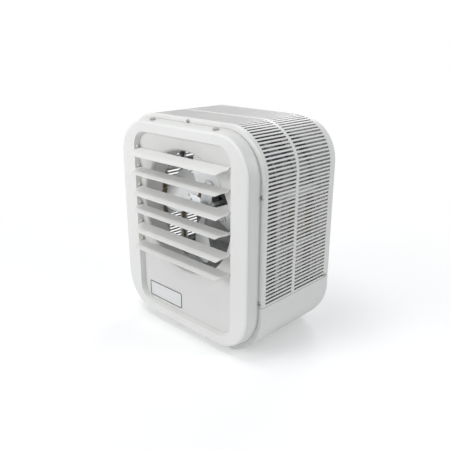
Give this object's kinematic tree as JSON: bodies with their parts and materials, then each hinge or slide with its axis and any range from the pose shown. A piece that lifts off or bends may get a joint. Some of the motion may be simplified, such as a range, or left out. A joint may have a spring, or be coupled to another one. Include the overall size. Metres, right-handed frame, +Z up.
{
  "type": "unit heater",
  "caption": "Suspended electric unit heater: rounded slotted sheet-metal casing, bezel with tilting louvers, propeller fan, motor and arched heating elements.",
  "frame": {"origin": "under the middle of the whole heater, on the plane the lower pan stands on", "axes": "+Z up, -Y out of the louvered front, +X to the right of the heater seen from the front"},
  "size_m": [0.4312, 0.3012, 0.495],
  "materials": {
    "casing_paint": "satin powder coat",
    "plate_metal": "brushed",
    "zinc_steel": "zinc plated",
    "nylon": "matte",
    "fan_metal": "mill",
    "plated_sheet": "galvanised",
    "motor_paint": "semi-gloss",
    "shaft_steel": "ground",
    "laminations": "varnished",
    "winding_wire": "enamelled",
    "bearing_bronze": "sintered",
    "sheath_steel": "heat tinted",
    "black_plastic": "matte"
  },
  "bodies": {
    "casing": {"back_panel": "casing_paint", "bracket_screws": "zinc_steel", "contactor": "black_plastic", "divider": "plated_sheet", "earth_lug": "winding_wire", "element_1": "sheath_steel", "element_2": "sheath_steel", "element_3": "sheath_steel", "element_fittings": "zinc_steel", "element_support_left": "plated_sheet", "element_support_right": "plated_sheet", "element_terminals": "zinc_steel", "flange_screws": "zinc_steel", "front_bezel": "casing_paint", "hanger_bolts": "zinc_steel", "hanger_nuts": "zinc_steel", "inlet_wrap": "casing_paint", "louver_bushes": "nylon", "louver_rivets": "zinc_steel", "lower_pan": "casing_paint", "motor_bearings": "bearing_bronze", "motor_bracket": "plated_sheet", "motor_front_bell": "motor_paint", "motor_nuts": "zinc_steel", "motor_rear_bell": "motor_paint", "motor_shell": "motor_paint", "motor_stator": "laminations", "motor_studs": "zinc_steel", "motor_windings": "winding_wire", "outlet_panel": "casing_paint", "pan_screws": "zinc_steel", "rating_plate": "plate_metal", "terminal_block": "black_plastic", "thermal_cutout": "black_plastic", "transformer_coil": "winding_wire", "transformer_core": "laminations"},
    "fan": {"fan_spider": "plated_sheet", "fan_blades": "fan_metal", "fan_rivets": "zinc_steel", "motor_shaft": "shaft_steel", "motor_rotor": "laminations"},
    "louver_1": {"louver_1": "casing_paint"},
    "louver_2": {"louver_2": "casing_paint"},
    "louver_3": {"louver_3": "casing_paint"},
    "louver_4": {"louver_4": "casing_paint"},
    "louver_5": {"louver_5": "casing_paint"},
    "louver_6": {"louver_6": "casing_paint"}
  },
  "joints": [
    {"name": "louver_1_tilt", "type": "hinge", "parent": "casing", "child": "louver_1", "pos_m": [0, -0.11751, 0.4196], "axis": [1, 0, 0], "range_deg": [-46.3, 38.7]},
    {"name": "louver_2_tilt", "type": "hinge", "parent": "casing", "child": "louver_2", "pos_m": [0, -0.11751, 0.37485], "axis": [1, 0, 0], "range_deg": [-40.2, 44.8]},
    {"name": "louver_3_tilt", "type": "hinge", "parent": "casing", "child": "louver_3", "pos_m": [0, -0.11751, 0.3301], "axis": [1, 0, 0], "range_deg": [-49.9, 35.1]},
    {"name": "louver_4_tilt", "type": "hinge", "parent": "casing", "child": "louver_4", "pos_m": [0, -0.11751, 0.28535], "axis": [1, 0, 0], "range_deg": [-37.3, 47.7]},
    {"name": "louver_5_tilt", "type": "hinge", "parent": "casing", "child": "louver_5", "pos_m": [0, -0.11751, 0.2406], "axis": [1, 0, 0], "range_deg": [-48.5, 36.5]},
    {"name": "louver_6_tilt", "type": "hinge", "parent": "casing", "child": "louver_6", "pos_m": [0, -0.11751, 0.19585], "axis": [1, 0, 0], "range_deg": [-39.4, 45.6]},
    {"name": "fan_spin", "type": "hinge", "parent": "casing", "child": "fan", "pos_m": [0, -0.09502, 0.2904], "axis": [0, 1, 0], "continuous": true}
  ]
}
